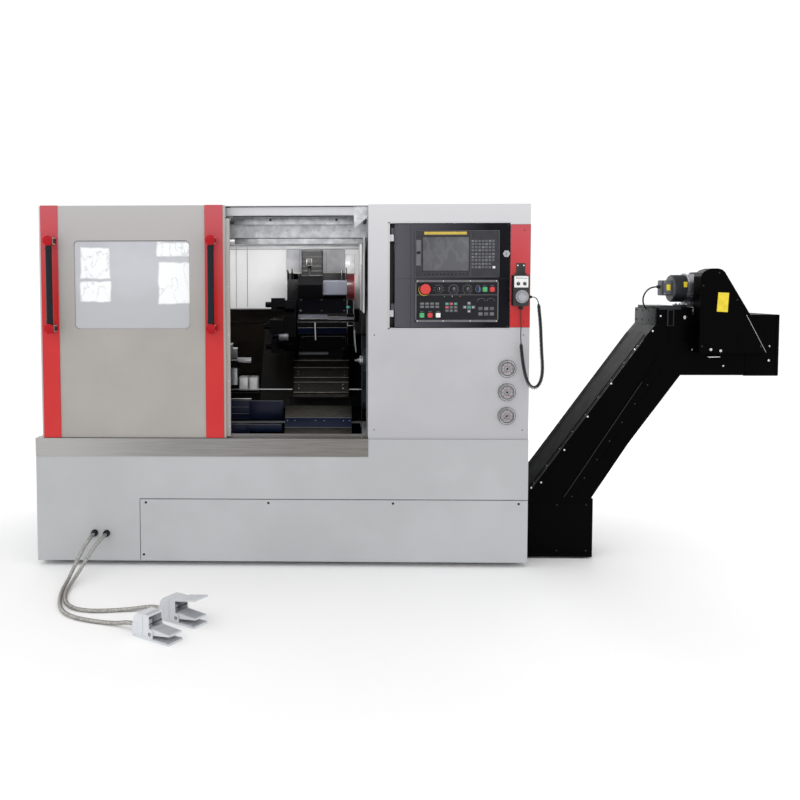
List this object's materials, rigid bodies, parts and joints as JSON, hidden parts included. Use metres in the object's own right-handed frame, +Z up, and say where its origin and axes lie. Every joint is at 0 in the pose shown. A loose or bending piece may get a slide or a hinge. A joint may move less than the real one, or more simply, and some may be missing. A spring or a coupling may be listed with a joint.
{
  "type": "cnc turning lathe with chip conveyor",
  "caption": "Slant-bed CNC turning lathe with a sliding guard door, chuck and turret inside, hinged control panels, hand wheel, foot switches and an inclined chip conveyor.",
  "frame": {"origin": "on the floor, under the middle of the machine with its conveyor and foot switches", "axes": "+X along the machine from the headstock end to the conveyor, +Y from the operator's side to the rear, +Z up"},
  "size_m": [3.732, 2.4878, 1.8],
  "materials": {
    "cream_paint": "light grey powder coat",
    "black_paint": "black powder coat",
    "door_paint": "warm grey powder coat",
    "dark_door": "charcoal powder coat",
    "aluminium": "cast",
    "red_paint": "red enamel",
    "liner_steel": "painted sheet",
    "cast_paint": "painted casting",
    "steel": "ground steel",
    "dark_steel": "dark oxide",
    "zinc": "galvanised sheet",
    "servo_black": "black enamel",
    "black_plastic": "moulded",
    "panel_grey": "moulded",
    "key_metal": "plated",
    "red_plastic": "moulded",
    "green_plastic": "moulded",
    "white_plastic": "moulded",
    "conduit_metal": "interlocked strip",
    "cord_black": "smooth",
    "window_glass": "laminated",
    "belt_black": "toothed",
    "pedal_paint": "light grey enamel"
  },
  "bodies": {
    "machine": {"base_frame": "cream_paint", "levelling_feet": "cast_paint", "access_panels": "cream_paint", "ledge_strip": "zinc", "bed_casting": "cast_paint", "headstock": "cast_paint", "drive_motors": "servo_black", "belts": "belt_black", "enclosure_shell": "cream_paint", "front_cabinet": "cream_paint", "chamber_liner": "liner_steel", "header_beam": "zinc", "pressure_gauges": "key_metal", "cable_glands": "black_plastic", "conveyor_casing": "black_paint", "conveyor_motor": "aluminium", "pendant_body": "black_plastic", "pendant_coil": "cord_black", "pendant_lead": "cord_black", "pedal_bodies": "pedal_paint", "conduit_front": "conduit_metal", "conduit_rear": "conduit_metal"},
    "door": {"door_panel": "door_paint", "door_trims": "red_paint", "door_window": "window_glass", "door_handles": "black_plastic"},
    "control_door": {"control_door": "dark_door", "screen_unit": "panel_grey", "operator_panel": "panel_grey"},
    "latch": {"control_latch": "key_metal"},
    "estop": {"estop_button": "red_plastic"},
    "mode_knob": {"knob_mode": "black_plastic"},
    "feed_knob": {"knob_feed": "black_plastic"},
    "spindle_knob": {"knob_spindle": "black_plastic"},
    "key": {"key_switch": "key_metal"},
    "start_button": {"button_start": "green_plastic"},
    "stop_button": {"button_stop": "red_plastic"},
    "power_on_button": {"button_power_on": "green_plastic"},
    "power_off_button": {"button_power_off": "red_plastic"},
    "light_button": {"button_light": "white_plastic"},
    "dial": {"pendant_dial": "aluminium"},
    "front_treadle": {"treadle_front": "pedal_paint"},
    "rear_treadle": {"treadle_rear": "pedal_paint"},
    "spindle": {"spindle": "steel", "chuck_body": "steel", "work_bar": "steel"},
    "jaw_a": {"chuck_jaw_1": "dark_steel"},
    "jaw_b": {"chuck_jaw_2": "dark_steel"},
    "jaw_c": {"chuck_jaw_3": "dark_steel"},
    "drive_pulley": {"motor_pulley": "steel"},
    "carriage": {"saddle": "cast_paint"},
    "slide_cover": {"x_cover": "steel"},
    "cross_slide": {"cross_slide": "cast_paint", "turret_body": "cast_paint", "turret_motor": "cast_paint"},
    "turret": {"turret_disc": "steel", "tool_holders": "dark_steel"},
    "tailstock": {"tailstock": "cast_paint"},
    "centre": {"live_centre": "steel"},
    "conveyor_shaft": {"head_shaft": "steel"}
  },
  "joints": [
    {"name": "door_slide", "type": "slide", "parent": "machine", "child": "door", "axis": [1, 0, 0], "range_m": [0, 0.68]},
    {"name": "control_door_hinge", "type": "hinge", "parent": "machine", "child": "control_door", "pos_m": [-0.088, -0.23, 1.45], "axis": [0, 0, 1], "range_deg": [-110, 0]},
    {"name": "latch_turn", "type": "hinge", "parent": "control_door", "child": "latch", "pos_m": [0.465, -0.236, 1.557], "axis": [0, 1, 0], "range_deg": [0, 90]},
    {"name": "estop_push", "type": "slide", "parent": "control_door", "child": "estop", "axis": [0, 1, 0], "range_m": [0, 0.005]},
    {"name": "mode_knob_turn", "type": "hinge", "parent": "control_door", "child": "mode_knob", "pos_m": [0.139, -0.242, 1.384], "axis": [0, 1, 0], "range_deg": [-60, 60]},
    {"name": "feed_knob_turn", "type": "hinge", "parent": "control_door", "child": "feed_knob", "pos_m": [0.21, -0.242, 1.384], "axis": [0, 1, 0], "range_deg": [-150, 150]},
    {"name": "spindle_knob_turn", "type": "hinge", "parent": "control_door", "child": "spindle_knob", "pos_m": [0.277, -0.242, 1.384], "axis": [0, 1, 0], "range_deg": [-150, 150]},
    {"name": "key_turn", "type": "hinge", "parent": "control_door", "child": "key", "pos_m": [0.33, -0.242, 1.384], "axis": [0, 1, 0], "range_deg": [0, 90]},
    {"name": "start_push", "type": "slide", "parent": "control_door", "child": "start_button", "axis": [0, 1, 0], "range_m": [0, 0.004], "stiffness_N_per_m": 300, "springref_m": -0.002},
    {"name": "stop_push", "type": "slide", "parent": "control_door", "child": "stop_button", "axis": [0, 1, 0], "range_m": [0, 0.004], "stiffness_N_per_m": 300, "springref_m": -0.002},
    {"name": "power_on_push", "type": "slide", "parent": "control_door", "child": "power_on_button", "axis": [0, 1, 0], "range_m": [0, 0.004], "stiffness_N_per_m": 300, "springref_m": -0.002},
    {"name": "power_off_push", "type": "slide", "parent": "control_door", "child": "power_off_button", "axis": [0, 1, 0], "range_m": [0, 0.004], "stiffness_N_per_m": 300, "springref_m": -0.002},
    {"name": "light_push", "type": "slide", "parent": "control_door", "child": "light_button", "axis": [0, 1, 0], "range_m": [0, 0.004], "stiffness_N_per_m": 300, "springref_m": -0.002},
    {"name": "dial_turn", "type": "hinge", "parent": "machine", "child": "dial", "pos_m": [0.531, -0.296, 1.349], "axis": [0, 1, 0], "continuous": true},
    {"name": "front_treadle_press", "type": "hinge", "parent": "machine", "child": "front_treadle", "pos_m": [-1.07944, -1.1538, 0.026], "axis": [0.5388, 0.8425, 0], "range_deg": [0, 8], "stiffness_Nm_per_rad": 6, "springref_deg": -6.88},
    {"name": "rear_treadle_press", "type": "hinge", "parent": "machine", "child": "rear_treadle", "pos_m": [-1.00744, -0.9758, 0.026], "axis": [0.5388, 0.8425, 0], "range_deg": [0, 8], "stiffness_Nm_per_rad": 6, "springref_deg": -6.88},
    {"name": "spindle_turn", "type": "hinge", "parent": "machine", "child": "spindle", "pos_m": [-1.266, 0.316, 0.988], "axis": [1, 0, 0], "continuous": true},
    {"name": "jaw_a_open", "type": "slide", "parent": "spindle", "child": "jaw_a", "axis": [0, -0.2588, 0.9659], "range_m": [0, 0.006]},
    {"name": "jaw_b_open", "type": "slide", "parent": "spindle", "child": "jaw_b", "axis": [0, -0.7071, -0.7071], "range_m": [0, 0.006]},
    {"name": "jaw_c_open", "type": "slide", "parent": "spindle", "child": "jaw_c", "axis": [0, 0.9659, -0.2588], "range_m": [0, 0.006]},
    {"name": "pulley_turn", "type": "hinge", "parent": "machine", "child": "drive_pulley", "pos_m": [-1.496, 0.716, 0.82], "axis": [1, 0, 0], "continuous": true},
    {"name": "carriage_travel", "type": "slide", "parent": "machine", "child": "carriage", "axis": [1, 0, 0], "range_m": [-0.18, 0]},
    {"name": "cover_follow", "type": "slide", "parent": "carriage", "child": "slide_cover", "axis": [0, 0.7071, 0.7071], "range_m": [-0.045, 0.025]},
    {"name": "cross_travel", "type": "slide", "parent": "carriage", "child": "cross_slide", "axis": [0, 0.7071, 0.7071], "range_m": [-0.08, 0.04]},
    {"name": "turret_index", "type": "hinge", "parent": "cross_slide", "child": "turret", "pos_m": [-0.626, 0.51116, 1.17468], "axis": [1, 0, 0], "continuous": true},
    {"name": "tailstock_travel", "type": "slide", "parent": "machine", "child": "tailstock", "axis": [1, 0, 0], "range_m": [-0.05, 0.2]},
    {"name": "centre_turn", "type": "hinge", "parent": "tailstock", "child": "centre", "pos_m": [-0.216, 0.316, 0.988], "axis": [1, 0, 0], "continuous": true},
    {"name": "conveyor_turn", "type": "hinge", "parent": "machine", "child": "conveyor_shaft", "pos_m": [1.664, 0.066, 1.125], "axis": [0, 1, 0], "continuous": true}
  ],
  "couplings": [
    {"joint": "jaw_b_open", "follows": "jaw_a_open", "ratio": 1},
    {"joint": "jaw_c_open", "follows": "jaw_a_open", "ratio": 1},
    {"joint": "pulley_turn", "follows": "spindle_turn", "ratio": 1.4667},
    {"joint": "cover_follow", "follows": "cross_travel", "ratio": 0.5}
  ]
}
